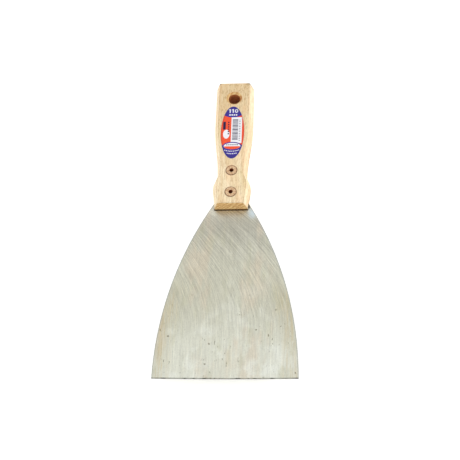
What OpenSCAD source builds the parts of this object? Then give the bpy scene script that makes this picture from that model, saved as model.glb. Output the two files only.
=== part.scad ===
// Drywall taping knife: a taper-ground steel blade whose tang sits in the sawn slot
// of a wooden handle and is held there by two tubular rivets.
//
// Frame: the knife lies on its back. +Y runs from the blade's edge to the handle's butt,
// +Z points up out of the face that carries the label, and the origin is at the centre
// of the footprint. Distances called "from the mouth" start at the end of the handle
// where the blade comes out.

/* [Blade] */
// Width of the blade at its working edge
edge_w = 110; // [80:1:150]
// Length of blade that shows in front of the handle
blade_l = 147; // [120:1:180]
// Width of the blade where it enters the handle
neck_w = 34.4; // [32:0.2:40]
// Straight run of the sides next to the edge
corner_run = 0.5; // [0:0.5:10]
// How far the middle of the edge stands ahead of its corners
edge_crown = 0.4; // [0.2:0.1:1]
// Thickness of the steel at the handle
stock_t = 1.2; // [0.8:0.1:2]
// Thickness of the steel at the edge
edge_t = 0.6; // [0.3:0.1:0.8]
// Width of the tang inside the handle
tang_w = 20; // [14:1:22]
// Length of the tang inside the handle
tang_l = 60; // [50:1:80]

/* [Handle] */
// Length of the handle
handle_l = 120; // [110:1:140]
// Thickness of the handle
handle_t = 22; // [18:0.5:26]
// Width at the mouth
mouth_w = 27.2; // [26:0.2:32]
// Width of the swelling behind the mouth
collar_w = 30.6; // [29:0.2:36]
// Distance of the swelling from the mouth
collar_at = 19.5; // [16:0.5:24]
// Width of the waist
waist_w = 24; // [23:0.2:28]
// Distance of the waist from the mouth
waist_at = 30; // [28:1:42]
// Width of the grip
grip_w = 31.8; // [28:0.2:36]
// Distance of the start of the wide grip from the mouth
grip_at = 80; // [70:1:90]
// Width at the butt
butt_w = 31.8; // [28:0.2:36]
// Height of the upright band along each side
band_t = 5; // [3:0.5:7]
// Part of the half width that each bevel takes
bevel_part = 0.2; // [0.15:0.01:0.3]
// Radius of the corners of the outline at both ends
end_r = 1.2; // [0.5:0.1:2]
// Gap of the sawn slot above and below the tang
kerf_gap = 0.05; // [0.05:0.05:0.3]
// Length of slot left empty behind the tang
kerf_spare = 4; // [1:1:8]

/* [Rivets] */
// Distance of the first rivet from the mouth
rivet_first = 10.6; // [10:0.1:13]
// Distance between the two rivets
rivet_pitch = 20.6; // [18:0.1:24]
// Diameter of a rivet's flange
flange_d = 8.6; // [8:0.1:11]
// Thickness of a rivet's flange
flange_t = 0.8; // [0.6:0.1:1.5]
// How far the flange stands above the wood
flange_proud = 0.3; // [0.1:0.1:0.5]
// Diameter of the rivet's tube
shank_d = 5; // [4:0.5:6]
// Diameter of the hole down the rivet
rivet_bore_d = 3.4; // [2:0.1:3.4]
// Thickness of the washer under the rolled end
washer_t = 0.6; // [0.4:0.1:0.8]
// Diameter of the washer
washer_d = 8.6; // [8:0.2:10]

/* [Hanging hole] */
// Diameter of the hanging hole
hang_d = 10; // [6:0.5:12]
// Distance of the hanging hole from the butt
hang_inset = 16; // [14:0.1:20]
// Depth of the countersink at each end of the hanging hole
hang_sink = 1.6; // [0.5:0.1:2]

/* [Label] */
// Width of the oval size label
label_w = 19.8; // [14:0.2:22]
// Length of the oval size label
label_l = 52.8; // [40:0.2:54]
// Distance of the label's centre from the mouth
label_at = 68.8; // [66:0.1:72]
// How far the label is stuck on to the right of the handle's axis
label_aside = -0.4; // [-1:0.1:1]
// Thickness of the label
label_t = 0.15; // [0.1:0.05:0.3]

/* [Hidden] */
// Segments of a small circle, of a large circle and of the oval
small_fn = 64;
large_fn = 720;
oval_fn = 96;
// Rings along the handle between its rounded corners
handle_rings = 56;
// Overshoot of cutting shapes
over = 1;

// Places along Y and Z
overall_l = blade_l + handle_l;
edge_y = -overall_l / 2;
mouth_y = edge_y + blade_l;
butt_y = overall_l / 2;
mid_z = handle_t / 2;

// Blade: each long side is an arc that leaves the corner run upright and passes the neck
side_inset = (edge_w - neck_w) / 2;
side_run = blade_l - corner_run;
side_r = (side_run * side_run + side_inset * side_inset) / (2 * side_inset);
side_x = side_r - edge_w / 2;
crown_r = edge_w * edge_w / (8 * edge_crown);
shoulder_y = edge_y + corner_run + sqrt(side_r * side_r - pow(side_x + tang_w / 2, 2));
tang_end_y = mouth_y + tang_l;

// Handle: half widths along it, each reached by a smooth ease from the one before
half_widths = [
    [0, mouth_w / 2],
    [collar_at, collar_w / 2],
    [waist_at, waist_w / 2],
    [grip_at, grip_w / 2],
    [handle_l, butt_w / 2]
];
kerf_t = stock_t + 2 * kerf_gap;
kerf_l = tang_l + kerf_spare;

// Rivets: seats in the wood and the stack at the back face
seat_d = flange_d + 0.6;
seat_depth = flange_t - flange_proud;
back_seat_d = washer_d + 0.4;
lip_t = 0.5;
lip_d = shank_d + 1.8;
lip_sunk = 0.2;
back_seat_depth = lip_sunk + lip_t + washer_t;
rivet_ys = [mouth_y + rivet_first, mouth_y + rivet_first + rivet_pitch];

hang_y = butt_y - hang_inset;

// Runs from 0 to 1 with level ends while t runs from 0 to 1
function ease(t) = (1 - cos(180 * t)) / 2;

// Eased value at u between two neighbouring [place, value] pairs
function between(u, a, b) = a[1] + (b[1] - a[1]) * ease((u - a[0]) / (b[0] - a[0]));

// Eased value at u from a list of [place, value] pairs, starting the search at pair i
function along(u, pairs, i = 0) =
    (i == len(pairs) - 2 || u < pairs[i + 1][0])
        ? between(u, pairs[i], pairs[i + 1])
        : along(u, pairs, i + 1);

// Loss of half width at u from the rounded corner of the nearer end
function corner_loss(u) =
    let (near = min(u, handle_l - u))
    near < end_r ? end_r - sqrt(end_r * end_r - pow(end_r - near, 2)) : 0;

// The eight corners of the handle's cross-section at u, where y is where it is placed.
// The bevels run on past the front and back faces, which are cut flat afterwards.
function section(u, y) =
    let (
        w = along(u, half_widths) - corner_loss(u),
        slope = w * bevel_part / (mid_z - band_t / 2),
        tall = mid_z + over,
        top = w - slope * (tall - band_t / 2)
    )
    [
        [w, y, -band_t / 2],
        [w, y, band_t / 2],
        [top, y, tall],
        [-top, y, tall],
        [-w, y, band_t / 2],
        [-w, y, -band_t / 2],
        [-top, y, -tall],
        [top, y, -tall]
    ];

// The smooth shell of the handle, running past both end faces
module handle_shell() {
    corner = [for (a = [0 : 22.5 : 67.5]) end_r * (1 - cos(a))];
    straight = handle_l - 2 * end_r;
    stations = concat(
        corner,
        [for (i = [0 : handle_rings]) end_r + straight * i / handle_rings],
        [for (i = [len(corner) - 1 : -1 : 0]) handle_l - corner[i]]
    );
    rings = concat(
        [section(0, -over)],
        [for (u = stations) section(u, u)],
        [section(handle_l, handle_l + over)]
    );
    sides = len(rings[0]);
    last = len(rings) - 1;
    polyhedron(
        points = [for (ring = rings) each ring],
        faces = concat(
            [[for (i = [sides - 1 : -1 : 0]) i]],
            [
                for (r = [0 : last - 1], i = [0 : sides - 1])
                    let (a = r * sides + i, b = r * sides + (i + 1) % sides)
                    each [[a, b, a + sides], [b, b + sides, a + sides]]
            ],
            [[for (i = [0 : sides - 1]) last * sides + i]]
        ),
        convexity = 4
    );
}

// A straight round hole along Z between two heights
module hole(y, d, z0, z1) {
    translate([0, y, z0])
        cylinder(d = d, h = z1 - z0, $fn = small_fn);
}

// A 45 degree countersink, widest at z, that narrows towards the middle of the handle
module countersink(y, z, upward) {
    grow = upward ? over : -over;
    deep = upward ? -hang_sink : hang_sink;
    wide_r = hang_d / 2 + hang_sink + over;
    translate([0, y, min(z + grow, z + deep)])
        cylinder(
            r1 = upward ? hang_d / 2 : wide_r,
            r2 = upward ? wide_r : hang_d / 2,
            h = hang_sink + over,
            $fn = small_fn
        );
}

// Plan of the blade, from the crowned edge to the round end of the tang
module blade_plan() {
    intersection() {
        translate([side_x, edge_y + corner_run])
            circle(r = side_r, $fn = large_fn);
        translate([-side_x, edge_y + corner_run])
            circle(r = side_r, $fn = large_fn);
        translate([0, edge_y + crown_r])
            circle(r = crown_r, $fn = large_fn);
        translate([-edge_w, edge_y - over])
            square([2 * edge_w, shoulder_y - edge_y + over]);
    }
    translate([-tang_w / 2, mouth_y])
        square([tang_w, tang_l - tang_w / 2]);
    translate([0, tang_end_y - tang_w / 2])
        circle(d = tang_w, $fn = small_fn);
}

// Side view of the blade, tapering from the mouth of the handle to the edge
module blade_taper() {
    polygon([
        [edge_y, -edge_t / 2],
        [mouth_y, -stock_t / 2],
        [tang_end_y + over, -stock_t / 2],
        [tang_end_y + over, stock_t / 2],
        [mouth_y, stock_t / 2],
        [edge_y, edge_t / 2]
    ]);
}

// Steel blade in one piece with its tang
module blade() {
    color("lightgray")
        difference() {
            intersection() {
                translate([0, 0, mid_z - stock_t])
                    linear_extrude(2 * stock_t)
                        blade_plan();
                rotate([90, 0, 90])
                    translate([0, mid_z, -edge_w])
                        linear_extrude(2 * edge_w)
                            blade_taper();
            }
            for (y = rivet_ys)
                hole(y, shank_d, mid_z - stock_t, mid_z + stock_t);
        }
}

// Wooden handle with its slot, rivet seats and hanging hole
module handle() {
    color("burlywood")
        difference() {
            intersection() {
                translate([-grip_w, mouth_y, 0])
                    cube([2 * grip_w, handle_l, handle_t]);
                translate([0, mouth_y, mid_z])
                    handle_shell();
            }
            translate([-grip_w, mouth_y - over, mid_z - kerf_t / 2])
                cube([2 * grip_w, kerf_l + over, kerf_t]);
            for (y = rivet_ys) {
                hole(y, shank_d, -over, handle_t + over);
                hole(y, seat_d, handle_t - seat_depth, handle_t + over);
                hole(y, back_seat_d, -over, back_seat_depth);
            }
            hole(hang_y, hang_d, -over, handle_t + over);
            countersink(hang_y, handle_t, true);
            countersink(hang_y, 0, false);
        }
}

// Tubular rivet: wide flange at the front, end rolled over the washer at the back
module rivet(y) {
    under = handle_t - seat_depth;
    top = under + flange_t;
    washer_back = back_seat_depth - washer_t;
    ease_in = flange_t / 2;
    bore_r = rivet_bore_d / 2;
    color("tan")
        translate([0, y, 0])
            rotate_extrude($fn = small_fn)
                polygon([
                    [bore_r, lip_sunk],
                    [lip_d / 2, lip_sunk],
                    [lip_d / 2, washer_back],
                    [shank_d / 2, washer_back],
                    [shank_d / 2, under],
                    [flange_d / 2, under],
                    [flange_d / 2, top - ease_in],
                    [flange_d / 2 - ease_in, top],
                    [bore_r + ease_in, top],
                    [bore_r, top - ease_in]
                ]);
}

// Flat washer sunk into the back of the handle
module washer(y) {
    color("tan")
        difference() {
            hole(y, washer_d, back_seat_depth - washer_t, back_seat_depth);
            hole(y, shank_d, -over, back_seat_depth + over);
        }
}

// Oval paper label stuck on the front face
module size_label() {
    color("orangered")
        translate([label_aside, mouth_y + label_at, handle_t])
            linear_extrude(label_t)
                polygon([
                    for (i = [0 : oval_fn - 1])
                        let (a = 360 * i / oval_fn)
                        [label_w / 2 * cos(a), label_l / 2 * sin(a)]
                ]);
}

blade();
handle();
rivet(rivet_ys[0]);  // rivet_by_blade
rivet(rivet_ys[1]);  // rivet_by_grip
washer(rivet_ys[0]);  // washer_by_blade
washer(rivet_ys[1]);  // washer_by_grip
size_label();
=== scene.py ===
import math

import bmesh
import bpy
from mathutils import Matrix, Vector, geometry


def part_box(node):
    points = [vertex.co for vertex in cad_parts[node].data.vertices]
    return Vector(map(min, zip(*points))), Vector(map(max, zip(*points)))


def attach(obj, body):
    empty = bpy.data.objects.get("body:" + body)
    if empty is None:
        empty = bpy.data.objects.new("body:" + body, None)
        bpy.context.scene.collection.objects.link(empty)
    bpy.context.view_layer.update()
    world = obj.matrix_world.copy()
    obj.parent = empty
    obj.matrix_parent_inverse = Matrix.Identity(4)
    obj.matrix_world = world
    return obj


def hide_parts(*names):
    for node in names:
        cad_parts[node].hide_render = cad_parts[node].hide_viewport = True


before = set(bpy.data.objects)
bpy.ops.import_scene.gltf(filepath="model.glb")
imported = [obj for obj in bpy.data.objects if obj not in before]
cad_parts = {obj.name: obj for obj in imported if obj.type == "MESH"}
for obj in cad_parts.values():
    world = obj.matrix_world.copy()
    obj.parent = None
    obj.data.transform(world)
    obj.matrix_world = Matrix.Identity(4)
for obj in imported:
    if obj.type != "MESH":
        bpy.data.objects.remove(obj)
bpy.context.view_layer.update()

# The looks of a drywall taping knife: a ground steel blade in a bevelled beech handle with two
# tubular rivets and an oval size label. Unless a comment says otherwise, lengths are millimetres
# in the knife's own frame (+Y towards the butt, +Z out of the labelled face). They turn into
# metres when a mesh is made.
MM = 0.001
ROOT = "root"


# --- Places that come from the CAD model -------------------------------------------------

def box_mm(node):
    """Lowest and highest corner of a CAD node, in millimetres."""
    low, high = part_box(node)
    return low / MM, high / MM


def middle(node):
    """Centre of a CAD node's box, in millimetres."""
    low, high = box_mm(node)
    return (low + high) / 2


def radius(node):
    """Radius of a round CAD node that stands along Z."""
    low, high = box_mm(node)
    return (high.y - low.y) / 2


blade_low, blade_high = box_mm("blade")
handle_low, handle_high = box_mm("handle")
label_low, label_high = box_mm("size_label")

EDGE_Y = blade_low.y
TANG_END_Y = blade_high.y
MOUTH_Y = handle_low.y
BUTT_Y = handle_high.y
BACK_Z = handle_low.z
FRONT_Z = handle_high.z
MID_Z = (BACK_Z + FRONT_Z) / 2
HANDLE_L = BUTT_Y - MOUTH_Y
HANDLE_T = FRONT_Z - BACK_Z
BLADE_L = MOUTH_Y - EDGE_Y
STOCK_T = blade_high.z - blade_low.z

RIVETS = ("rivet_by_blade", "rivet_by_grip")
WASHERS = ("washer_by_blade", "washer_by_grip")
RIVET_YS = [middle(node).y for node in RIVETS]
FLANGE_R = radius(RIVETS[0])
WASHER_R = radius(WASHERS[0])
FLANGE_TOP = box_mm(RIVETS[0])[1].z
LIP_BACK = box_mm(RIVETS[0])[0].z
WASHER_BACK = box_mm(WASHERS[0])[0].z
WASHER_FRONT = box_mm(WASHERS[0])[1].z

# --- Driving dimensions that the boxes don't give ----------------------------------------

# Blade
EDGE_HALF = blade_high.x
NECK_HALF = 17.2
TANG_HALF = 10.0
CORNER_RUN = 0.5
EDGE_CROWN = 0.4
CROWN_FADE = 20.0
EDGE_T = 0.6
BLADE_COLUMNS = 48
BLADE_ROW_STEP = 1.5
BLADE_BREAK = 0.08

# Each long side is an arc that starts square to the edge and ends at the neck
SIDE_INSET = EDGE_HALF - NECK_HALF
SIDE_RUN = BLADE_L - CORNER_RUN
SIDE_R = (SIDE_RUN ** 2 + SIDE_INSET ** 2) / (2 * SIDE_INSET)

# Handle: (distance from the mouth, half width), joined by smooth eases
HALF_WIDTHS = ((0, 13.6), (19.5, 15.3), (30, 12.0), (80, 15.9), (HANDLE_L, 15.9))
BAND_HALF = 2.5
BEVEL_PART = 0.2
ARRIS_REACH = 0.6
END_RADIUS = 0.7
HANDLE_STEP = 1.0
KERF_HALF = STOCK_T / 2 + 0.05
KERF_L = 64.0

# Rivets and their seats
SHANK_R = 2.5
RIVET_BORE_R = 1.7
FLANGE_T = 0.8
SEAT_R = FLANGE_R + 0.3
SEAT_DEPTH = 0.5
BACK_SEAT_R = WASHER_R + 0.2
LIP_R = 3.4
RIM_DROP = 0.1
RIM_RUN = 0.8
CROWN_DROP = 0.02
GROOVE_RS = (2.7, 3.2)
GROOVE_DEPTH = 0.14
CREST_R = 2.2
RIVET_ROUND = 0.22
WASHER_ROUND = 0.12
LATHE_STEPS = 96

# Hanging hole
HANG_R = 5.0
HANG_Y = BUTT_Y - 16.0
HANG_SINK = 1.6

# Label
LABEL_CENTRE = middle("size_label")
LABEL_A = (label_high.x - label_low.x) / 2
LABEL_B = (label_high.y - label_low.y) / 2
LABEL_RIM = 0.12

# How far a cutter reaches past the surface it cuts
OVERSHOOT = 1.0

# Points closer together than this are one point
WELD = 0.0005


# --- Curves ------------------------------------------------------------------------------

def lerp(a, b, t):
    return a + (b - a) * t


def ease(t):
    """0 to 1 with level ends."""
    return (1 - math.cos(math.pi * t)) / 2


def half_width(u):
    """Half width of the handle at distance u from its mouth."""
    for (u0, w0), (u1, w1) in zip(HALF_WIDTHS, HALF_WIDTHS[1:]):
        if u <= u1:
            return lerp(w0, w1, ease((u - u0) / (u1 - u0)))
    return HALF_WIDTHS[-1][1]


def blade_half(y):
    """Half width of the blade at y: the side's arc, or the tang with its round end."""
    past = max(0.0, y - EDGE_Y - CORNER_RUN)
    arc = EDGE_HALF - SIDE_R + math.sqrt(SIDE_R ** 2 - past ** 2)
    into_end = max(0.0, y - (TANG_END_Y - TANG_HALF))
    return max(arc, math.sqrt(TANG_HALF ** 2 - into_end ** 2))


def rounded(corners, reach, steps):
    """A closed outline whose corners are curves that start reach before them."""
    points = []
    for i, corner in enumerate(corners):
        here = Vector(corner)
        before = Vector(corners[i - 1]) - here
        after = Vector(corners[(i + 1) % len(corners)]) - here
        before *= min(reach, before.length / 2) / before.length
        after *= min(reach, after.length / 2) / after.length
        for k in range(steps + 1):
            t = k / steps
            points.append(here + before * (1 - t) ** 2 + after * t ** 2)
    following = points[1:] + points[:1]
    return [point for point, after in zip(points, following) if (after - point).length > WELD]


# --- Mesh helpers ------------------------------------------------------------------------

def add_ring(bm, points):
    """Vertices at millimetre points, stored in metres."""
    return [bm.verts.new(Vector(p) * MM) for p in points]


def bridge(bm, ring_a, ring_b, closed=True):
    """Quads between two rows of the same length."""
    count = len(ring_a)
    for i in range(count if closed else count - 1):
        j = (i + 1) % count
        bm.faces.new((ring_a[i], ring_a[j], ring_b[j], ring_b[i]))


def to_object(name, bm, materials):
    """An object at the origin whose mesh holds what bm built."""
    bmesh.ops.recalc_face_normals(bm, faces=bm.faces)
    mesh = bpy.data.meshes.new(name)
    bm.to_mesh(mesh)
    bm.free()
    for material in materials:
        mesh.materials.append(material)
    piece = bpy.data.objects.new(name, mesh)
    bpy.context.scene.collection.objects.link(piece)
    return piece


def apply_modifiers(piece):
    """Replaces the piece's mesh with its evaluated one and drops the modifiers."""
    depsgraph = bpy.context.evaluated_depsgraph_get()
    baked = bpy.data.meshes.new_from_object(piece.evaluated_get(depsgraph))
    piece.modifiers.clear()
    piece.data = baked


def cut(piece, cutter):
    """Takes the cutter's shape out of the piece. Cut faces get the cutter's material."""
    modifier = piece.modifiers.new("cut", "BOOLEAN")
    modifier.operation = "DIFFERENCE"
    modifier.solver = "EXACT"
    modifier.material_mode = "TRANSFER"
    modifier.object = cutter
    weld = piece.modifiers.new("weld", "WELD")
    weld.merge_threshold = WELD * MM
    apply_modifiers(piece)
    bpy.data.objects.remove(cutter)


def soften(piece, width):
    """Breaks every square edge of the piece by width millimetres."""
    modifier = piece.modifiers.new("break", "BEVEL")
    modifier.width = width * MM
    modifier.segments = 2
    modifier.limit_method = "ANGLE"
    modifier.angle_limit = math.radians(60)
    modifier.miter_outer = "MITER_ARC"
    apply_modifiers(piece)


def shade(piece, sharp_angle):
    """Smooth shading that stays crisp across edges sharper than sharp_angle degrees."""
    mesh = piece.data
    mesh.polygons.foreach_set("use_smooth", [True] * len(mesh.polygons))
    mesh.set_sharp_from_angle(angle=math.radians(sharp_angle))
    modifier = piece.modifiers.new("even_normals", "WEIGHTED_NORMAL")
    modifier.keep_sharp = True
    apply_modifiers(piece)


def turned(name, profile, y, materials, solid_core=False):
    """A solid turned about the vertical axis at (0, y).

    The (radius, z) profile is a closed outline, or for a solid core an open one from the
    bottom to the top, which is then closed on the axis.
    """
    bm = bmesh.new()
    rings = []
    for i in range(LATHE_STEPS):
        angle = 2 * math.pi * i / LATHE_STEPS
        rings.append(add_ring(bm, [(r * math.cos(angle), y + r * math.sin(angle), z) for r, z in profile]))
    if solid_core:
        bottom, top = add_ring(bm, [(0, y, profile[0][1]), (0, y, profile[-1][1])])
    for i, ring in enumerate(rings):
        after = rings[(i + 1) % LATHE_STEPS]
        bridge(bm, ring, after, closed=not solid_core)
        if solid_core:
            bm.faces.new((bottom, ring[0], after[0]))
            bm.faces.new((top, after[-1], ring[-1]))
    return to_object(name, bm, materials)


def finish_piece(piece, node):
    """Puts a finished piece in place of its CAD node."""
    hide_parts(node)
    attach(piece, ROOT)


# --- Node helpers ------------------------------------------------------------------------

def srgb(red, green, blue):
    """An 8-bit screen colour as linear RGBA."""
    def linear(value):
        share = value / 255
        return share / 12.92 if share <= 0.04045 else ((share + 0.055) / 1.055) ** 2.4
    return (linear(red), linear(green), linear(blue), 1.0)


# The usual range of a noise
NOISE_LOW, NOISE_HIGH = 0.3, 0.7

# The sockets of a Mix node that deal with colours
MIX_AMOUNT, MIX_A, MIX_B, MIX_RESULT = 0, 6, 7, 2


class Paint:
    """Builds one material with short calls. Its place is the object's, in millimetres."""

    def __init__(self, name):
        self.material = bpy.data.materials.new(name)
        self.material.use_nodes = True
        self.tree = self.material.node_tree
        self.shader = self.tree.nodes["Principled BSDF"]
        coordinates = self.node("ShaderNodeTexCoord")
        self.place = self.stretched(coordinates.outputs["Object"], 1 / MM, 1 / MM, 1 / MM)
        self.x, self.y, self.z = self.split(self.place)

    def node(self, kind, settings=None, **inputs):
        """A new node with its settings made and its inputs fed."""
        made = self.tree.nodes.new(kind)
        for key, value in (settings or {}).items():
            setattr(made, key, value)
        for key, value in inputs.items():
            self.feed(made.inputs[key.replace("_", " ")], value)
        return made

    def feed(self, socket, value):
        """Links a socket to another, or sets its value."""
        if isinstance(value, bpy.types.NodeSocket):
            self.tree.links.new(value, socket)
        else:
            socket.default_value = value

    def set(self, **values):
        """Sets or links the shader's own inputs."""
        for key, value in values.items():
            self.feed(self.shader.inputs[key.replace("_", " ")], value)

    def stretched(self, vector, x, y, z):
        """The vector with each part multiplied by its own number."""
        made = self.node("ShaderNodeMapping", Scale=(x, y, z))
        self.feed(made.inputs["Vector"], vector)
        return made.outputs["Vector"]

    def math(self, operation, a, b=0.0):
        made = self.node("ShaderNodeMath", {"operation": operation})
        self.feed(made.inputs[0], a)
        self.feed(made.inputs[1], b)
        return made.outputs[0]

    def times(self, a, b):
        return self.math("MULTIPLY", a, b)

    def plus(self, *terms):
        total = terms[0]
        for term in terms[1:]:
            total = self.math("ADD", total, term)
        return total

    def far(self, x, y, slim=1.0):
        """Distance in the XY plane from (x, y), with the X part multiplied by slim."""
        dx = self.times(self.plus(self.x, -x), slim)
        dy = self.plus(self.y, -y)
        return self.math("SQRT", self.plus(self.times(dx, dx), self.times(dy, dy)))

    def split(self, vector):
        made = self.node("ShaderNodeSeparateXYZ", Vector=vector)
        return made.outputs[0], made.outputs[1], made.outputs[2]

    def join(self, x, y, z):
        return self.node("ShaderNodeCombineXYZ", X=x, Y=y, Z=z).outputs[0]

    def noise(self, vector, scale=1.0, detail=4.0, rough=0.55):
        made = self.node("ShaderNodeTexNoise", Vector=vector, Scale=scale, Detail=detail, Roughness=rough)
        return made.outputs["Fac"]

    def band(self, value, start, end, at_start=0.0, at_end=1.0):
        """Goes smoothly from at_start to at_end while the value goes from start to end."""
        made = self.node("ShaderNodeMapRange", {"interpolation_type": "SMOOTHSTEP"})
        for socket, number in zip(made.inputs, (value, start, end, at_start, at_end)):
            self.feed(socket, number)
        return made.outputs[0]

    def spread(self, noise, low, high):
        """Goes smoothly from low to high over the usual range of a noise."""
        return self.band(noise, NOISE_LOW, NOISE_HIGH, low, high)

    def blend(self, amount, a, b, how="MIX"):
        """Colour a, with b mixed in by the amount."""
        made = self.node("ShaderNodeMix", {"data_type": "RGBA", "blend_type": how})
        for index, value in ((MIX_AMOUNT, amount), (MIX_A, a), (MIX_B, b)):
            self.feed(made.inputs[index], value)
        return made.outputs[MIX_RESULT]

    def toned(self, colour, tone):
        """The colour with its brightness multiplied by tone."""
        return self.blend(1.0, colour, self.join(tone, tone, tone), "MULTIPLY")

    def bump(self, height, depth):
        """Relief whose full height is depth millimetres."""
        made = self.node("ShaderNodeBump", Strength=1.0, Distance=depth * MM, Height=height)
        self.set(Normal=made.outputs["Normal"])


# --- Steel -------------------------------------------------------------------------------

STEEL_AT_EDGE = srgb(217, 218, 204)
STEEL_MIDWAY = srgb(200, 199, 182)
STEEL_BY_NECK = srgb(186, 184, 170)
STEEL_PAINTED_LIGHT_AT_MOUTH = srgb(212, 212, 200)
WARM_PATCH = srgb(212, 197, 174)
GREEN_PATCH = srgb(188, 188, 160)
PALE_PATCH = srgb(234, 237, 228)
SIDE_STAIN = srgb(192, 180, 146)
SCRATCH = srgb(244, 242, 230)
SHOULDER_SHEEN = srgb(206, 222, 232)
SIDE_LINE_SHADE = srgb(160, 168, 170)
GRIME_AND_SHADE = srgb(58, 40, 26)
PIT = srgb(116, 108, 82)
EDGE_LINE_DARK = srgb(58, 56, 52)
SHEARED_LIGHT = srgb(120, 120, 116)
SHEARED_DARK = srgb(72, 70, 66)
SHEARED_STAIN = srgb(46, 40, 34)


def across_strokes(p):
    """Place across the grinding strokes, which run straight at the edge and lean over by the handle."""
    straight_until = -95.0
    lean = 0.0053
    past = p.math("MAXIMUM", p.plus(p.y, -straight_until), 0.0)
    wobble = p.noise(p.stretched(p.place, 0.02, 0.02, 0.02), detail=2.0)
    return p.plus(p.x, p.times(p.times(past, past), lean), p.times(wobble, 5.0))


def along_strokes(p, across, finer, longer, layer, **noise):
    """Noise drawn out along the grinding strokes. Each layer is another pattern."""
    return p.noise(p.join(p.times(across, finer), p.times(p.y, longer), layer), **noise)


def side_distance(p):
    """Distance in from the curved long side of the blade."""
    dx = p.plus(p.math("ABSOLUTE", p.x), SIDE_R - EDGE_HALF)
    dy = p.math("MAXIMUM", p.plus(p.y, -EDGE_Y - CORNER_RUN), 0.0)
    reach = p.math("SQRT", p.plus(p.times(dx, dx), p.times(dy, dy)))
    return p.plus(p.times(reach, -1.0), SIDE_R)


def steel_patches(p, upright, from_side):
    """Colour of the steel without its strokes: a painted reflection, paler at the edge and darker towards
    the neck, with painted light by the mouth; patchy, stained by the sides.
    """
    clouds = p.noise(p.place, 0.045, 4.0, 0.6)
    warm = p.noise(p.stretched(p.place, 0.07, 0.02, 1.0), detail=4.0)
    green = p.noise(p.stretched(p.place, 0.12, 0.03, 1.0), scale=1.3, detail=4.0)
    # Painted reflection: paler at the edge, darker towards the neck
    colour = p.blend(p.band(p.y, -112.0, -68.0), STEEL_AT_EDGE, STEEL_MIDWAY)
    colour = p.blend(p.band(p.y, -45.0, 0.0), colour, STEEL_BY_NECK)
    # Painted light: paler towards the mouth, which lifts the shade under the handle's end
    colour = p.blend(p.band(p.y, 0.0, MOUTH_Y, 0.0, 0.8), colour, STEEL_PAINTED_LIGHT_AT_MOUTH)
    colour = p.blend(p.band(warm, 0.5, 0.68, 0.0, 0.45), colour, WARM_PATCH)
    colour = p.blend(p.band(green, 0.5, 0.7, 0.0, 0.35), colour, GREEN_PATCH)
    pale = p.times(p.band(clouds, 0.48, 0.68), p.band(p.y, -40.0, EDGE_Y, 0.15, 1.0))
    colour = p.blend(p.times(pale, 0.6), colour, PALE_PATCH)
    stain = p.times(p.band(from_side, 16.0, 5.0), p.band(p.y, -40.0, -75.0))
    return p.blend(p.times(stain, p.band(upright, 0.4, 0.65, 0.1, 0.7)), colour, SIDE_STAIN)


def stroke_tone(p, strokes, fine, upright, grain):
    """Brightness of the strokes, which are deeper towards the handle."""
    by_handle = p.band(p.y, EDGE_Y, MOUTH_Y, 0.45, 1.8)
    return p.plus(
        p.times(p.spread(strokes, -0.14, 0.14), by_handle),
        p.times(p.spread(fine, -0.08, 0.08), by_handle),
        p.spread(upright, -0.06, 0.06),
        p.spread(grain, -0.06, 0.06),
        1.0,
    )


def mouth_grime_and_shade(p, grain):
    """Dirt with painted shade along the handle's mouth, and a painted shadow in the corner to the right of
    it.
    """
    mouth_half = half_width(0)
    under_wood = p.band(p.math("ABSOLUTE", p.x), mouth_half + 0.8, mouth_half - 0.2)
    corner_shadow = p.times(p.band(p.x, mouth_half + 2.2, mouth_half + 1.2), p.band(p.x, 0.0, 1.0))
    by_mouth = p.band(p.plus(p.y, p.times(grain, 0.8)), MOUTH_Y - 1.0, MOUTH_Y - 0.4, 0.0, 0.95)
    beside = p.band(p.y, MOUTH_Y + 0.2, MOUTH_Y + 1.2, 0.0, 0.8)
    return p.math("MAXIMUM", p.times(by_mouth, under_wood), p.times(beside, corner_shadow))


def pits(p):
    """Rust pits, 1 inside: clusters of ragged upright marks, and a few lone round spots."""
    marks = p.noise(p.stretched(p.place, 0.75, 0.24, 1.0), detail=2.0, rough=0.6)
    clusters = p.noise(p.stretched(p.place, 0.06, 0.04, 1.0), detail=1.0)
    upright = p.times(p.band(marks, 0.655, 0.72), p.band(clusters, 0.46, 0.6, 0.25, 1.0))
    ragged = p.times(p.plus(p.noise(p.place, 1.2, 2.0), -0.5), 0.12)
    cells = p.node("ShaderNodeTexVoronoi", {"voronoi_dimensions": "2D"}, Vector=p.place, Scale=0.06)
    chosen = p.band(p.split(cells.outputs["Color"])[0], 0.4, 0.38)
    spots = p.times(chosen, p.band(p.plus(cells.outputs["Distance"], ragged), 0.06, 0.03))
    towards_edge = p.band(p.y, -50.0, -95.0, 0.12, 1.0)
    return p.times(p.math("MAXIMUM", upright, spots), towards_edge)


def edge_dark_line(p):
    """A dark line along the crowned working edge, uneven in strength."""
    unevenness = p.band(p.noise(p.stretched(p.place, 0.16, 0.0, 0.0), detail=3.0), 0.45, 0.62, 0.5, 1.0)
    crown = p.times(p.times(p.x, p.x), -EDGE_CROWN / EDGE_HALF ** 2)
    from_edge = p.plus(p.y, crown, -EDGE_Y)
    return p.times(p.band(from_edge, 1.0, 0.4), unevenness)


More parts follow.
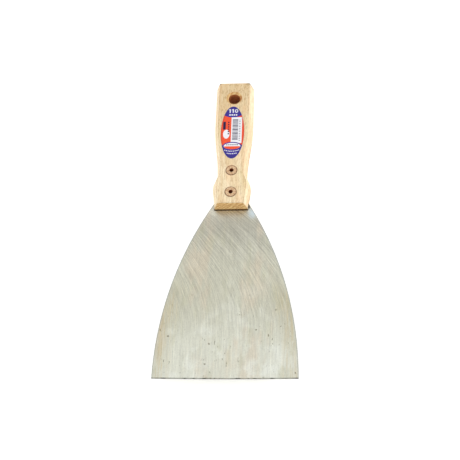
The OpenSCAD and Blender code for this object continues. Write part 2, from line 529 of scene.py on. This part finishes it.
def ground_steel():
    """Taper-ground steel: leaning grinding strokes, warm and pale patches, dark pits."""
    p = Paint("ground_steel")
    across = across_strokes(p)
    strokes = along_strokes(p, across, 0.8, 0.03, 0.0, detail=5.0, rough=0.75)
    fine = along_strokes(p, across, 2.4, 0.1, 5.0, detail=3.0, rough=0.7)
    lone = along_strokes(p, across, 1.7, 0.02, 9.0, detail=1.0)
    upright = p.noise(p.stretched(p.place, 0.9, 0.05, 1.0), detail=4.0, rough=0.7)
    grain = p.noise(p.place, 1.1, 4.0, 0.75)
    from_side = side_distance(p)
    pitted = pits(p)

    colour = steel_patches(p, upright, from_side)
    colour = p.toned(colour, stroke_tone(p, strokes, fine, upright, grain))
    colour = p.blend(p.times(p.band(lone, 0.7, 0.78), 0.6), colour, SCRATCH)
    shoulder = p.plus(p.far(NECK_HALF, MOUTH_Y - 3.5, 1.4), p.times(grain, 7.0))
    colour = p.blend(p.band(shoulder, 11.0, 4.0, 0.0, 0.75), colour, SHOULDER_SHEEN)
    # Painted shade: a bluish grey line along the blade's long sides
    colour = p.blend(p.band(from_side, 1.1, 0.3, 0.0, 0.55), colour, SIDE_LINE_SHADE)
    # Dirt and painted shade under the mouth, and a painted shadow in the corner beside it
    colour = p.blend(mouth_grime_and_shade(p, grain), colour, GRIME_AND_SHADE)
    colour = p.blend(p.times(pitted, 0.55), colour, PIT)
    # A dark line painted along the working edge, uneven in strength
    colour = p.blend(edge_dark_line(p), colour, EDGE_LINE_DARK)
    p.set(Base_Color=colour, Metallic=1.0)
    p.set(Roughness=p.plus(p.spread(strokes, 0.36, 0.48), p.times(pitted, 0.3)))
    p.bump(p.plus(p.times(strokes, 0.6), p.times(fine, 0.4), p.times(pitted, -0.8)), 0.02)
    return p.material


def sheared_steel():
    """The cut edge faces of the blade: dull, dark and streaked across the thickness."""
    p = Paint("sheared_steel")
    streaks = p.noise(p.stretched(p.place, 0.8, 0.8, 0.1), detail=4.0, rough=0.7)
    stain = p.noise(p.place, 0.06, 2.0)
    colour = p.blend(p.spread(streaks, 0.0, 1.0), SHEARED_LIGHT, SHEARED_DARK)
    colour = p.blend(p.band(stain, 0.5, 0.65, 0.0, 0.7), colour, SHEARED_STAIN)
    p.set(Base_Color=colour, Metallic=1.0, Roughness=p.spread(streaks, 0.5, 0.65))
    p.bump(streaks, 0.05)
    return p.material


# --- Wood --------------------------------------------------------------------------------

BEECH_PALE = srgb(247, 230, 194)
BEECH_TAN = srgb(232, 206, 162)
BEECH_FIBRE = srgb(196, 162, 116)
BEECH_ROSY = srgb(246, 208, 164)
BEECH_GREENISH = srgb(232, 216, 164)
BEECH_TOWARDS_BUTT = srgb(204, 174, 124)
BEECH_FLECK = srgb(164, 124, 72)
BEECH_SPECK = srgb(158, 120, 72)
SEAT_STAIN_AND_SHADE = srgb(96, 56, 34)
BUTT_STAIN = srgb(120, 88, 52)
CHIP = srgb(84, 58, 34)
END_PALE = srgb(255, 224, 156)
END_BROWN = srgb(196, 132, 68)
END_PORE = srgb(122, 74, 36)
SLOT_SHADE = srgb(48, 30, 18)
BORED_LIGHT = srgb(196, 122, 74)
BORED_DARK = srgb(150, 80, 42)
BORED_STAIN = srgb(120, 60, 30)
BORED_FADED = srgb(180, 112, 50)


def along_grain(p, across, finer, longer, **noise):
    """Noise drawn out along the wood's grain."""
    return p.noise(p.join(p.times(across, finer), p.times(p.y, longer), p.times(p.z, finer)), **noise)


def seat_stain_and_shade(p, colour):
    """Stains the wood round the rivets' seats, with painted shade in the gap round each flange, heavier on
    the lower (-Y) side.
    """
    for y in RIVET_YS:
        # Stain and painted shade in a ring round the seat, shifted towards -Y
        ring = p.band(p.far(0.0, y - 0.15), SEAT_R + 0.55, SEAT_R + 0.1, 0.0, 0.8)
        colour = p.blend(ring, colour, SEAT_STAIN_AND_SHADE)
    return colour


def butt_wear(p, colour, grain):
    """Stains the wood at the butt, with chips and dirt at its front corners."""
    by_edge = p.band(p.plus(p.y, p.times(grain, 2.0)), BUTT_Y, BUTT_Y + 1.2, 0.0, 0.5)
    colour = p.blend(by_edge, colour, BUTT_STAIN)
    reach = half_width(HANDLE_L) * (1 - BEVEL_PART)
    nearest = p.math("MINIMUM", p.far(reach, BUTT_Y), p.far(-reach, BUTT_Y))
    chips = p.band(p.plus(nearest, p.times(grain, 2.4)), 3.6, 1.8, 0.0, 0.85)
    return p.blend(chips, colour, CHIP)


def beech(name, tone):
    """Pale planed beech with soft figure, fine fibres and short dark flecks."""
    p = Paint(name)
    sway = p.noise(p.stretched(p.place, 0.03, 0.012, 0.03), detail=2.0)
    across = p.plus(p.x, p.times(sway, 9.0))
    figure = along_grain(p, across, 0.22, 0.016, detail=3.0)
    fibre = along_grain(p, across, 1.3, 0.12, detail=4.0, rough=0.7)
    flecks = along_grain(p, across, 0.9, 0.3, detail=3.0, rough=0.65)
    specks = p.noise(p.stretched(p.place, 1.3, 0.8, 1.3), detail=3.0, rough=0.7)
    drift = p.noise(p.stretched(p.place, 0.13, 0.04, 0.13), detail=3.0)
    on_front = p.band(p.z, FRONT_Z - 1.2, FRONT_Z - 0.2)
    by_butt = p.times(p.band(p.y, BUTT_Y - 75, BUTT_Y), on_front)
    fleck_depth = p.plus(p.times(by_butt, 0.27), 0.3)

    colour = p.blend(p.band(figure, 0.35, 0.65), BEECH_PALE, BEECH_TAN)
    colour = p.blend(p.band(fibre, 0.42, 0.66, 0.0, 0.6), colour, BEECH_FIBRE)
    colour = p.blend(p.band(drift, 0.5, 0.68, 0.0, 0.5), colour, BEECH_ROSY)
    colour = p.blend(p.band(drift, 0.48, 0.32, 0.0, 0.4), colour, BEECH_GREENISH)
    # Darker on the front towards the butt, where the flecks are also deeper
    colour = p.blend(p.times(by_butt, 0.5), colour, BEECH_TOWARDS_BUTT)
    colour = p.blend(p.times(p.band(flecks, 0.5, 0.66), fleck_depth), colour, BEECH_FLECK)
    colour = p.blend(p.band(specks, 0.55, 0.72, 0.0, 0.22), colour, BEECH_SPECK)
    colour = butt_wear(p, seat_stain_and_shade(p, colour), specks)
    p.set(Base_Color=p.toned(colour, tone), Roughness=p.spread(fibre, 0.42, 0.56))
    p.bump(p.plus(p.times(fibre, 0.7), p.times(flecks, -0.5)), 0.06)
    return p.material


def slot_shade(p):
    """Painted shade on the mouth's end grain, up to the faces of the slot."""
    in_front = p.band(p.z, MID_Z + KERF_HALF + 0.6, MID_Z + KERF_HALF + 0.1)
    behind = p.band(p.z, MID_Z - KERF_HALF - 0.6, MID_Z - KERF_HALF - 0.1)
    at_mouth = p.band(p.y, MOUTH_Y + 2, MOUTH_Y + 1)
    return p.times(p.times(in_front, behind), at_mouth)


def end_grain(name, tone):
    """Wood cut across its fibres: browner, open pored, with slanting saw marks."""
    p = Paint(name)
    slant = p.plus(p.times(p.x, 0.8), p.times(p.z, -1.0))
    marks = p.noise(p.join(slant, p.times(p.plus(p.x, p.z), 0.08), 0.0), 1.1, 3.0, 0.65)
    pores = p.noise(p.place, 1.8, 3.0, 0.7)
    colour = p.blend(p.band(marks, 0.35, 0.65), END_PALE, END_BROWN)
    colour = p.blend(p.band(pores, 0.5, 0.7, 0.0, 0.7), colour, END_PORE)
    # Painted shade on the end grain round the slot
    colour = p.blend(p.times(slot_shade(p), 0.85), colour, SLOT_SHADE)
    p.set(Base_Color=p.toned(colour, tone), Roughness=0.7)
    p.bump(p.plus(marks, p.times(pores, -0.5)), 0.1)
    return p.material


def bored_wood():
    """Wood browned by the drill, in the holes and the slot."""
    p = Paint("bored_wood")
    rings = p.noise(p.stretched(p.place, 0.15, 0.15, 1.2), detail=4.0, rough=0.65)
    stain = p.noise(p.place, 0.25, 3.0)
    colour = p.blend(p.band(rings, 0.35, 0.7), BORED_LIGHT, BORED_DARK)
    colour = p.blend(p.band(stain, 0.45, 0.7, 0.0, 0.5), colour, BORED_STAIN)
    colour = p.blend(p.band(p.y, HANG_Y - 1.0, HANG_Y + HANG_R, 0.0, 0.35), colour, BORED_FADED)
    p.set(Base_Color=colour, Roughness=0.75)
    p.bump(rings, 0.1)
    return p.material


# --- Rivet metal -------------------------------------------------------------------------

COPPER_RUBBED = srgb(236, 206, 168)
COPPER_DULL = srgb(198, 158, 120)
COPPER_SPOT = srgb(98, 62, 42)
TARNISH_LIGHT = srgb(176, 98, 54)
TARNISH_DARK = srgb(110, 54, 24)


def copper():
    """Coppered steel rubbed bright on top, mottled with small dull spots."""
    p = Paint("copper_rubbed")
    wear = p.noise(p.place, 0.8, 4.0, 0.6)
    spots = p.noise(p.place, 3.0, 3.0, 0.65)
    colour = p.blend(p.band(wear, 0.35, 0.65), COPPER_RUBBED, COPPER_DULL)
    colour = p.blend(p.band(spots, 0.52, 0.7, 0.0, 0.6), colour, COPPER_SPOT)
    p.set(Base_Color=colour, Metallic=1.0, Roughness=p.spread(wear, 0.32, 0.48))
    p.bump(spots, 0.03)
    return p.material


def tarnish():
    """Brown tarnish inside the rivets' bores."""
    p = Paint("tarnish")
    bloom = p.noise(p.place, 1.5, 4.0, 0.65)
    p.set(Base_Color=p.blend(p.band(bloom, 0.35, 0.65), TARNISH_LIGHT, TARNISH_DARK))
    p.set(Metallic=0.2, Roughness=p.spread(bloom, 0.55, 0.75))
    p.bump(bloom, 0.05)
    return p.material


# --- Label inks --------------------------------------------------------------------------

INKS = {
    "paper": srgb(238, 232, 226),
    "blue": srgb(58, 44, 148),
    "red": srgb(244, 84, 44),
    "white": srgb(243, 243, 247),
    "grey": srgb(66, 66, 92),
    "dark": srgb(28, 6, 62),
}
RUBBED_INK = srgb(226, 222, 218)


def ink(name, colour):
    """One printed colour on varnished paper, with fibres, faint rubbing and a darker rim."""
    p = Paint(name)
    fibres = p.noise(p.place, 2.2, 4.0, 0.65)
    rubbed = p.noise(p.place, 0.9, 3.0, 0.7)
    darker = tuple(part * 0.82 for part in colour[:3]) + (1.0,)
    shade_of = p.blend(p.band(fibres, 0.35, 0.7), colour, darker)
    shade_of = p.blend(p.band(rubbed, 0.62, 0.78, 0.0, 0.2), shade_of, RUBBED_INK)
    outwards = p.far(LABEL_CENTRE.x, LABEL_CENTRE.y, LABEL_B / LABEL_A)
    shade_of = p.toned(shade_of, p.band(outwards, LABEL_B * 0.8, LABEL_B, 1.0, 0.76))
    p.set(Base_Color=shade_of, Roughness=p.spread(fibres, 0.32, 0.42))
    p.set(Specular_IOR_Level=0.25, Coat_Weight=0.1, Coat_Roughness=0.25)
    p.bump(fibres, 0.015)
    return p.material


# --- Blade -------------------------------------------------------------------------------

def blade_row(y, side):
    """Points across the blade at y, on its front (side 1) or its back (side -1)."""
    taper = min(1.0, (y - EDGE_Y) / BLADE_L)
    z = MID_Z + side * lerp(EDGE_T, STOCK_T, taper) / 2
    fade = max(0.0, 1 - (y - EDGE_Y) / CROWN_FADE)
    shares = [2 * i / BLADE_COLUMNS - 1 for i in range(BLADE_COLUMNS + 1)]
    return [(share * blade_half(y), y + EDGE_CROWN * share * share * fade, z) for share in shares]


def blade_stations():
    """Where the rows of the blade's mesh are: even steps, then closer on the round tang end."""
    round_y = TANG_END_Y - TANG_HALF
    count = round((round_y - EDGE_Y) / BLADE_ROW_STEP)
    even = [lerp(EDGE_Y, round_y, i / count) for i in range(count + 1)]
    turns = (15, 30, 45, 60, 75)
    return even + [round_y + TANG_HALF * math.sin(math.radians(a)) for a in turns]


def make_blade():
    bm = bmesh.new()
    rows = blade_stations()
    front = [add_ring(bm, blade_row(y, 1)) for y in rows]
    back = [add_ring(bm, blade_row(y, -1)) for y in rows]
    for surface in (front, back):
        for row, after in zip(surface, surface[1:]):
            bridge(bm, row, after, closed=False)
    for i in (0, -1):
        bridge(bm, front[i], back[i], closed=False)
        bridge(bm, [row[i] for row in front], [row[i] for row in back], closed=False)
    ground, sheared = ground_steel(), sheared_steel()
    piece = to_object("blade_ground", bm, [ground, sheared])
    soften(piece, BLADE_BREAK)
    for y in RIVET_YS:
        through = [(SHANK_R, MID_Z - STOCK_T), (SHANK_R, MID_Z + STOCK_T)]
        cut(piece, turned("tang_hole", through, y, [sheared], solid_core=True))
    steep = 0.5
    for face in piece.data.polygons:
        if abs(face.normal.z) < steep:
            face.material_index = 1
    shade(piece, sharp_angle=40)
    finish_piece(piece, "blade")


# --- Handle ------------------------------------------------------------------------------

# Places of the materials on the handle's mesh
LONG_GRAIN, ENDS, BORED, ARRIS, COUNTERSUNK = range(5)


def handle_ring(u, inset):
    """Cross-section of the handle at u from the mouth, shrunk by inset, with soft arrises."""
    wide = half_width(u) - inset
    tall = HANDLE_T / 2 - inset
    flat = half_width(u) * (1 - BEVEL_PART) - inset
    quarter = [(wide, BAND_HALF), (flat, tall)]
    top = quarter + [(-x, z) for x, z in reversed(quarter)]
    corners = top + [(-x, -z) for x, z in top]
    return [(p.x, MOUTH_Y + u, MID_Z + p.y) for p in rounded(corners, ARRIS_REACH, 4)]


def handle_stations():
    """(distance from the mouth, inset) of the rings, with a rounded edge at each end."""
    turns = [math.radians(a) for a in (0, 22.5, 45, 67.5)]
    end = [(END_RADIUS * (1 - math.cos(a)), END_RADIUS * (1 - math.sin(a))) for a in turns]
    count = round((HANDLE_L - 2 * END_RADIUS) / HANDLE_STEP)
    between = [(lerp(END_RADIUS, HANDLE_L - END_RADIUS, i / count), 0.0) for i in range(count + 1)]
    return end + between + [(HANDLE_L - u, inset) for u, inset in reversed(end)]


def handle_material(normal):
    """Place of the material for a face of the uncut handle, by the way it looks."""
    if abs(normal.y) > 0.9:
        return ENDS
    if 0.45 < abs(normal.z) < 0.98:
        return ARRIS
    return LONG_GRAIN


def slot_cutter(material):
    """The sawn slot for the tang, open at the mouth and on both sides."""
    bm = bmesh.new()
    bmesh.ops.create_cube(bm, size=2)
    for vertex in bm.verts:
        y = MOUTH_Y - OVERSHOOT if vertex.co.y < 0 else MOUTH_Y + KERF_L
        place = (vertex.co.x * EDGE_HALF, y, MID_Z + vertex.co.z * KERF_HALF)
        vertex.co = Vector(place) * MM
    return to_object("slot", bm, [material])


def handle_cutters(bored, countersunk):
    """The slot, the stepped rivet holes and the countersunk hanging hole."""
    yield slot_cutter(bored)
    rivet_hole = [
        (BACK_SEAT_R, BACK_Z - OVERSHOOT),
        (BACK_SEAT_R, WASHER_FRONT),
        (SHANK_R, WASHER_FRONT),
        (SHANK_R, FRONT_Z - SEAT_DEPTH),
        (SEAT_R, FRONT_Z - SEAT_DEPTH),
        (SEAT_R, FRONT_Z + OVERSHOOT),
    ]
    for y in RIVET_YS:
        yield turned("rivet_hole", rivet_hole, y, [bored], solid_core=True)
    bore = [(HANG_R, BACK_Z - OVERSHOOT), (HANG_R, FRONT_Z + OVERSHOOT)]
    yield turned("hang_bore", bore, HANG_Y, [bored], solid_core=True)
    wide = HANG_R + HANG_SINK + OVERSHOOT
    for face_z, outward in ((FRONT_Z, 1), (BACK_Z, -1)):
        cone = [(HANG_R, face_z - outward * HANG_SINK), (wide, face_z + outward * OVERSHOOT)]
        yield turned("hang_sink", cone[::outward], HANG_Y, [countersunk], solid_core=True)


def make_handle():
    bm = bmesh.new()
    rings = [add_ring(bm, handle_ring(u, inset)) for u, inset in handle_stations()]
    for ring, after in zip(rings, rings[1:]):
        bridge(bm, ring, after)
    bm.faces.new(rings[0])
    bm.faces.new(rings[-1])
    materials = {
        LONG_GRAIN: beech("beech", 1.0),
        ENDS: end_grain("end_grain", 1.0),
        BORED: bored_wood(),
        ARRIS: beech("beech_arris", 0.84),
        COUNTERSUNK: end_grain("countersunk_grain", 0.9),
    }
    piece = to_object("handle_beech", bm, [materials[place] for place in sorted(materials)])
    for face in piece.data.polygons:
        face.material_index = handle_material(face.normal)
    for cutter in handle_cutters(materials[BORED], materials[COUNTERSUNK]):
        cut(piece, cutter)
    shade(piece, sharp_angle=30)
    finish_piece(piece, "handle")


# --- Rivets and washers ------------------------------------------------------------------

def rivet_outline():
    """Half of a rivet's section as (radius, z), from its rolled end round to its bore."""
    under = FLANGE_TOP - FLANGE_T
    rim_z = FLANGE_TOP - RIM_DROP
    groove_z = FLANGE_TOP - GROOVE_DEPTH
    groove_inner, groove_outer = GROOVE_RS
    return [
        (RIVET_BORE_R, LIP_BACK), (LIP_R, LIP_BACK), (LIP_R, WASHER_BACK), (SHANK_R, WASHER_BACK),
        (SHANK_R, under), (FLANGE_R, under), (FLANGE_R, rim_z),
        (FLANGE_R - RIM_RUN, FLANGE_TOP - CROWN_DROP), (groove_outer, groove_z), (groove_inner, groove_z),
        (CREST_R, FLANGE_TOP), (RIVET_BORE_R, rim_z),
    ]


def make_rivet(node, metals):
    """Tubular rivet: flange with a shallow ring, and the tube's end rolled over the washer."""
    profile = [tuple(point) for point in rounded(rivet_outline(), RIVET_ROUND, 3)]
    axis_y = middle(node).y
    piece = turned(node + "_turned", profile, axis_y, metals)
    margin = 0.05
    for face in piece.data.polygons:
        from_axis = math.hypot(face.center.x / MM, face.center.y / MM - axis_y)
        if from_axis < RIVET_BORE_R + margin:
            face.material_index = 1
    shade(piece, sharp_angle=35)
    finish_piece(piece, node)


def make_washer(node, metals):
    low, high = box_mm(node)
    outline = [(SHANK_R, low.z), (WASHER_R, low.z), (WASHER_R, high.z), (SHANK_R, high.z)]
    profile = [tuple(point) for point in rounded(outline, WASHER_ROUND, 2)]
    piece = turned(node + "_turned", profile, middle(node).y, metals[:1])
    shade(piece, sharp_angle=35)
    finish_piece(piece, node)


# --- Label -------------------------------------------------------------------------------

def oval(x, y, a, b, steps=48):
    turns = [2 * math.pi * i / steps for i in range(steps)]
    return [(x + a * math.cos(t), y + b * math.sin(t)) for t in turns]


def half_oval(x, y, a, b, steps=12):
    """The lower half of an oval."""
    turns = [math.pi * i / steps for i in range(steps + 1)]
    return [(x - a * math.cos(t), y - b * math.sin(t)) for t in turns]


def bar(x, y, wide, tall):
    """A rectangle centred on (x, y)."""
    a, b = wide / 2, tall / 2
    return [(x - a, y - b), (x + a, y - b), (x + a, y + b), (x - a, y + b)]


def bars(start, step, count, size):
    """Equal bars in line: the first centred on start, each of the others one step further."""
    return [bar(start[0] + step[0] * i, start[1] + step[1] * i, *size) for i in range(count)]


def dashed_arc(half_run, y, sag, count):
    """Short dashes in a row that sags in the middle, every other one narrower."""
    wide, narrow, tall = 1.1, 0.77, 0.8
    dashes = []
    for i in range(count):
        t = 2 * i / (count - 1) - 1
        dashes.append(bar(half_run * t, y - sag * (1 - t * t), wide if i % 2 else narrow, tall))
    return dashes


def numeral_one(x, y, tall):
    """A plain 1 whose lower left end is at (x, y)."""
    flag, stem = tall * 0.2, tall * 0.24
    tip, heel, crook = y + tall * 0.82, y + tall * 0.64, y + tall * 0.76
    return [
        (x + flag, y), (x + flag + stem, y), (x + flag + stem, y + tall), (x + flag, y + tall),
        (x, tip), (x, heel), (x + flag, crook),
    ]


def inside_oval(y):
    """Half width of the printed part of the label at y."""
    return (LABEL_A - LABEL_RIM) * math.sqrt(1 - (y / (LABEL_B - LABEL_RIM)) ** 2)


def red_field():
    """The middle of the oval, up to an arc that sags towards its middle."""
    bottom, side_top, sag, steps = -13.0, 17.2, 2.2, 24
    heights = [lerp(bottom, side_top, i / steps) for i in range(steps + 1)]
    right = [(inside_oval(y), y) for y in heights]
    end_x = right[-1][0]
    arc = [(end_x * t, side_top - sag * (1 - t * t)) for t in (0.75, 0.5, 0.25, 0, -0.25, -0.5, -0.75)]
    return right + arc + [(-x, y) for x, y in reversed(right)]


def panel_areas():
    """A white panel with plain stripes, every third one heavier, and a column of ticks."""
    stripes = [bar(2.2, 12.8 - 1.45 * i, 4.7, 1.05 if i % 3 == 1 else 0.7) for i in range(15)]
    ticks = bars((5.9, 12.2), (0, -1.7), 13, (1.4, 0.5))
    return [("white", bar(3.3, 2.1, 8.9, 26.2))] + [("grey", outline) for outline in stripes + ticks]


def field_areas():
    """Generic shapes on the red field: a bar, an oval and a column of squares."""
    squares = bars((-3.4, 10.0), (0, -2.3), 6, (1.1, 1.3))
    shapes = [("dark", bar(-6.9, 6.7, 2.2, 8.0)), ("white", oval(-5.1, -1.9, 2.7, 4.5))]
    return shapes + [("dark", outline) for outline in squares]


def lens_areas():
    """A lens at the foot of the red field, white above and red below, with a row of ticks."""
    x, y = 0.1, -14.0
    lens = [
        ("blue", oval(x, y, 7.9, 4.2)),
        ("white", oval(x, y, 6.9, 3.2)),
        ("red", half_oval(x, y - 0.2, 6.7, 3.0)),
    ]
    return lens + [("grey", outline) for outline in bars((-4.25, -12.7), (1.7, 0), 6, (1.2, 0.9))]


def size_areas():
    """The size in millimetres, and dashes in place of words."""
    ones = [("white", numeral_one(x, 19.8, 3.8)) for x in (-3.8, -1.2)]
    zero = [("white", oval(2.75, 21.7, 1.4, 1.9, 32)), ("blue", oval(2.75, 21.7, 0.58, 1.15, 24))]
    dashes = bars((-2.6, 17.6), (1.8, 0), 4, (1.25, 1.4))
    dashes += dashed_arc(5.8, -18.0, 1.1, 9) + dashed_arc(3.6, -21.1, 0.5, 6)
    return ones + zero + [("white", outline) for outline in dashes]


def label_print():
    """The printed areas as (ink, outline) about the label's centre, later ones on top."""
    ground = [
        ("paper", oval(0, 0, LABEL_A, LABEL_B, 96)),
        ("blue", oval(0, 0, LABEL_A - LABEL_RIM, LABEL_B - LABEL_RIM, 96)),
        ("red", red_field()),
    ]
    return ground + panel_areas() + field_areas() + lens_areas() + size_areas()


def flat_partition(outlines):
    """Splits the plane into triangles that each know which outlines cover them."""
    points, loops = [], []
    for outline in outlines:
        loops.append(list(range(len(points), len(points) + len(outline))))
        points += [Vector(point) for point in outline]
    inside_only, same_point = 1, 1e-4
    cells = geometry.delaunay_2d_cdt(points, [], loops, inside_only, same_point)
    return cells[0], cells[2], cells[5]


def make_label():
    names = list(INKS)
    areas = label_print()
    points, triangles, covers = flat_partition([outline for _, outline in areas])
    bm = bmesh.new()
    top = add_ring(bm, [(LABEL_CENTRE.x + p.x, LABEL_CENTRE.y + p.y, label_high.z) for p in points])
    for triangle, cover in zip(triangles, covers):
        face = bm.faces.new([top[i] for i in triangle])
        face.material_index = names.index(areas[max(cover)][0])
    rim_edges = [edge for edge in bm.edges if edge.is_boundary]
    walls = bmesh.ops.extrude_edge_only(bm, edges=rim_edges)["geom"]
    for element in walls:
        if isinstance(element, bmesh.types.BMVert):
            element.co.z = label_low.z * MM
        elif isinstance(element, bmesh.types.BMFace):
            element.material_index = 0
    bottom_edges = [edge for edge in bm.edges if edge.is_boundary]
    under = bmesh.ops.contextual_create(bm, geom=bottom_edges)["faces"]
    for face in under:
        face.material_index = 0
    piece = to_object("size_label_print", bm, [ink(name + "_ink", INKS[name]) for name in names])
    shade(piece, sharp_angle=30)
    finish_piece(piece, "size_label")


# --- Camera, floor and light -------------------------------------------------------------

CAMERA_AZIMUTH = 9.61
CAMERA_ELEVATION = 59.3
CAMERA_ROLL = 8.86
CAMERA_DISTANCE = 900.0
CAMERA_TARGET = Vector((-0.31, -5.3, MID_Z))
CAMERA_LENS = 88.08
CAMERA_SENSOR = 36.0

# In metres, like the lights' places
CAMERA_FAR_END = 20.0
FLOOR_HALF = 3.0
FLOOR_GAP = 0.0002
SOFTBOX_SIZE = 0.9


def make_camera():
    azimuth, elevation, roll = (math.radians(v) for v in (CAMERA_AZIMUTH, CAMERA_ELEVATION, CAMERA_ROLL))
    level = math.cos(elevation)
    back = Vector((math.sin(azimuth) * level, -math.cos(azimuth) * level, math.sin(elevation)))
    right = Vector((math.cos(azimuth), math.sin(azimuth), 0))
    up = back.cross(right)
    side = right * math.cos(roll) - up * math.sin(roll)
    top = right * math.sin(roll) + up * math.cos(roll)
    data = bpy.data.cameras.new("camera")
    data.lens = CAMERA_LENS
    data.sensor_width = CAMERA_SENSOR
    data.clip_end = CAMERA_FAR_END
    camera = bpy.data.objects.new("camera", data)
    turn = Matrix((side, top, back)).transposed().to_4x4()
    camera.matrix_world = Matrix.Translation((CAMERA_TARGET + back * CAMERA_DISTANCE) * MM) @ turn
    bpy.context.scene.collection.objects.link(camera)
    bpy.context.scene.camera = camera


def make_floor():
    """A white table that glows faintly, like a light table, so that shadows stay soft."""
    bm = bmesh.new()
    bmesh.ops.create_grid(bm, x_segments=1, y_segments=1, size=FLOOR_HALF)
    p = Paint("table_white")
    p.set(Base_Color=(0.9, 0.9, 0.9, 1), Roughness=0.9)
    p.set(Emission_Color=(1, 1, 1, 1), Emission_Strength=0.35)
    floor = to_object("floor", bm, [p.material])
    floor.location.z = -FLOOR_GAP


def make_softbox(name, place, power):
    """A round area light that looks at the knife."""
    data = bpy.data.lights.new(name, "AREA")
    data.shape = "DISK"
    data.size = SOFTBOX_SIZE
    data.energy = power
    light = bpy.data.objects.new(name, data)
    light.location = place
    light.rotation_euler = (-Vector(place)).to_track_quat("-Z", "Y").to_euler()
    bpy.context.scene.collection.objects.link(light)


def make_studio():
    """White surroundings with a softbox low on each side, the right one stronger."""
    world = bpy.data.worlds.new("studio")
    world.use_nodes = True
    background = world.node_tree.nodes["Background"]
    background.inputs["Color"].default_value = (1, 1, 1, 1)
    background.inputs["Strength"].default_value = 1.0
    bpy.context.scene.world = world
    make_softbox("left_softbox", (-1.3, 0.1, 0.45), 1.5)
    make_softbox("right_softbox", (1.3, 0.1, 0.45), 4.5)
    bpy.context.scene.view_settings.view_transform = "Standard"


# --- The knife ---------------------------------------------------------------------------

make_camera()
make_floor()
make_studio()
make_blade()
make_handle()
rivet_metals = [copper(), tarnish()]
for rivet_node in RIVETS:
    make_rivet(rivet_node, rivet_metals)
for washer_node in WASHERS:
    make_washer(washer_node, rivet_metals)
make_label()
